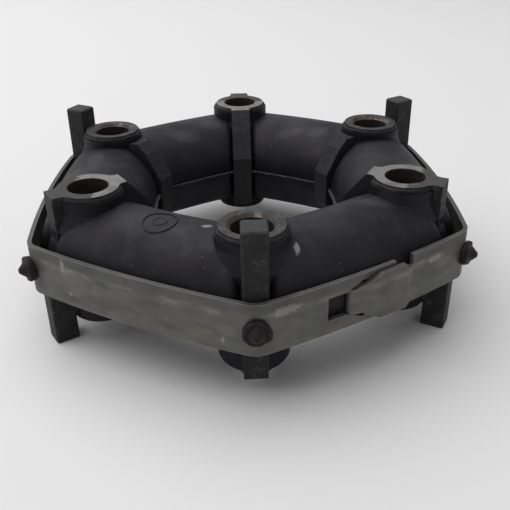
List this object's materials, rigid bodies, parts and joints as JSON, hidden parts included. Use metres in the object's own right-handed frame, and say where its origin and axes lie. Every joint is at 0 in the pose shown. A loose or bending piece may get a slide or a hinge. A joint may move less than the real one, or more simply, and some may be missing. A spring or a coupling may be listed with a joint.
{
  "type": "flexible disc coupling",
  "caption": "Hexagonal rubber shaft coupling ring with moulded-in bushes that face up and down in turn, their tangs, and a hooked steel band round it.",
  "frame": {"origin": "on the coupling's axis at the mid-plane between its two sides", "axes": "+Z along the coupling's axis; +X to the right and -Y towards the front corner, whose tang points up"},
  "size_m": [0.1632, 0.1874, 0.064],
  "materials": {
    "rubber": "moulded natural rubber, satin, dusty",
    "casting": "rough casting, dark, with bare machined faces",
    "band_steel": "galvanised strip, mottled and scuffed"
  },
  "bodies": {
    "root": {"rubber_ring": "rubber", "retaining_band": "band_steel", "insert_front": "casting", "insert_front_right": "casting", "insert_back_right": "casting", "insert_back": "casting", "insert_back_left": "casting", "insert_front_left": "casting"}
  },
  "joints": []
}
